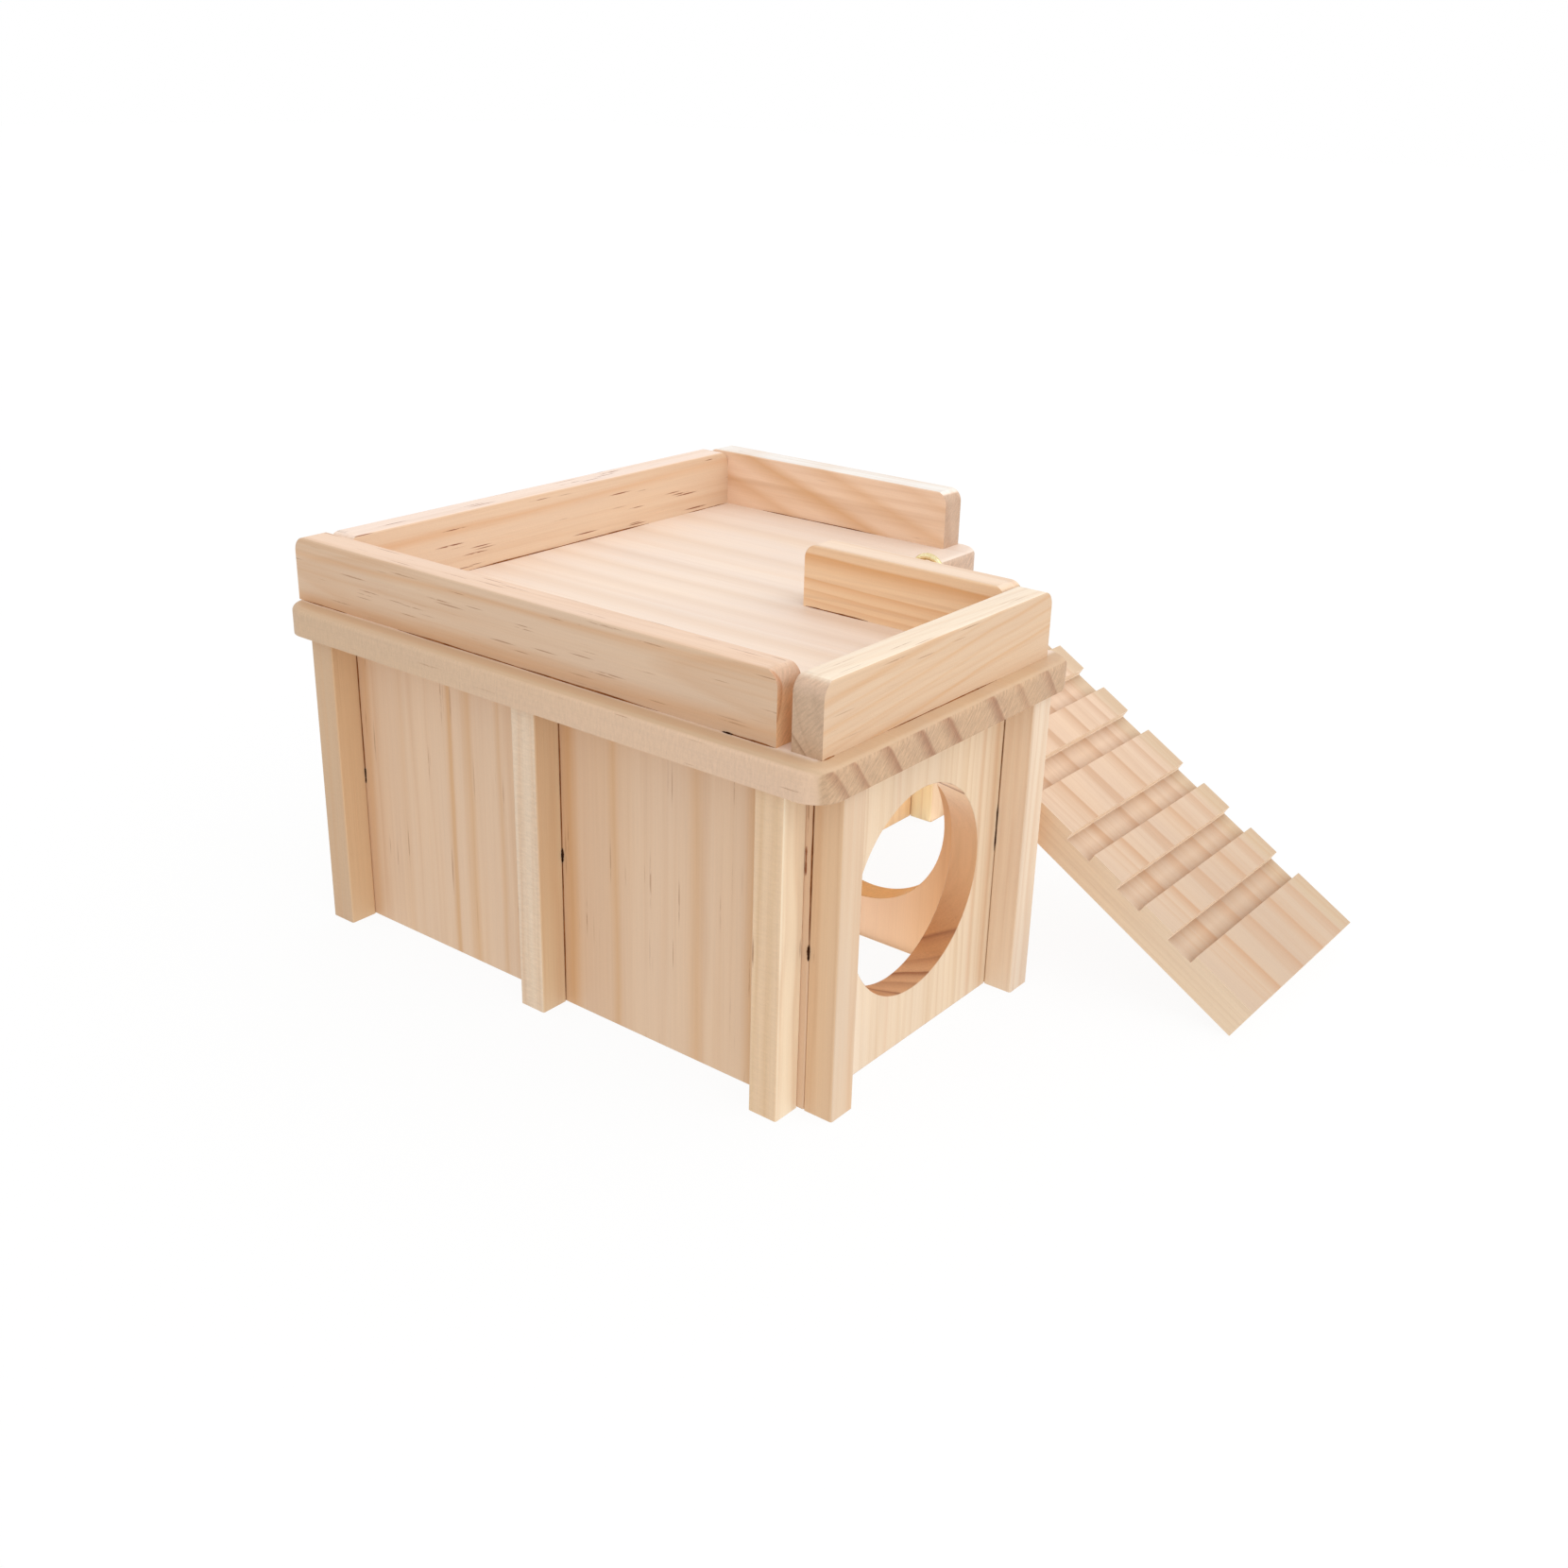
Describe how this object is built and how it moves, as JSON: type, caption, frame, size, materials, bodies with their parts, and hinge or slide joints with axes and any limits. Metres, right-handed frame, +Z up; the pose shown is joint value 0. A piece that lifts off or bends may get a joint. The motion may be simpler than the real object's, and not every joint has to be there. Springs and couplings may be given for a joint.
{
  "type": "small pet hide",
  "caption": "L-shaped bottomless pine hide for small pets, with round doorways, a railed roof deck and a grooved ladder that swings on linked brass screw eyes.",
  "frame": {"origin": "on the ground, at the middle of the footprint of house and lowered ladder", "axes": "+X along the front wall towards the ladder's foot, +Y from the front to the back, +Z up"},
  "size_m": [0.264, 0.2, 0.12],
  "materials": {
    "pine_wall": "planed, unfinished",
    "pine_batten": "sawn, unfinished",
    "pine_deck": "planed, unfinished",
    "pine_rail": "planed, unfinished",
    "pine_ladder": "milled, unfinished",
    "brass": "bright plated wire"
  },
  "bodies": {
    "house": {"front_wall": "pine_wall", "right_end_wall": "pine_wall", "inner_back_wall": "pine_wall", "inner_side_wall": "pine_wall", "back_wall": "pine_wall", "left_wall": "pine_wall", "front_batten_left": "pine_batten", "front_batten_middle": "pine_batten", "front_batten_right": "pine_batten", "end_batten_near": "pine_batten", "end_batten_far": "pine_batten", "inner_batten_near": "pine_batten", "inner_batten_far": "pine_batten", "deck_board": "pine_deck", "front_rail": "pine_rail", "right_rail": "pine_rail", "left_rail": "pine_rail", "back_rail": "pine_rail", "inner_rail": "pine_rail", "deck_eye": "brass"},
    "ladder": {"ladder_board": "pine_ladder", "ladder_eye": "brass"}
  },
  "joints": [
    {"name": "ladder_hinge", "type": "hinge", "parent": "house", "child": "ladder", "pos_m": [-0.00564, 0.0559, 0.1005], "axis": [0, -1, 0], "range_deg": [0, 145]}
  ]
}
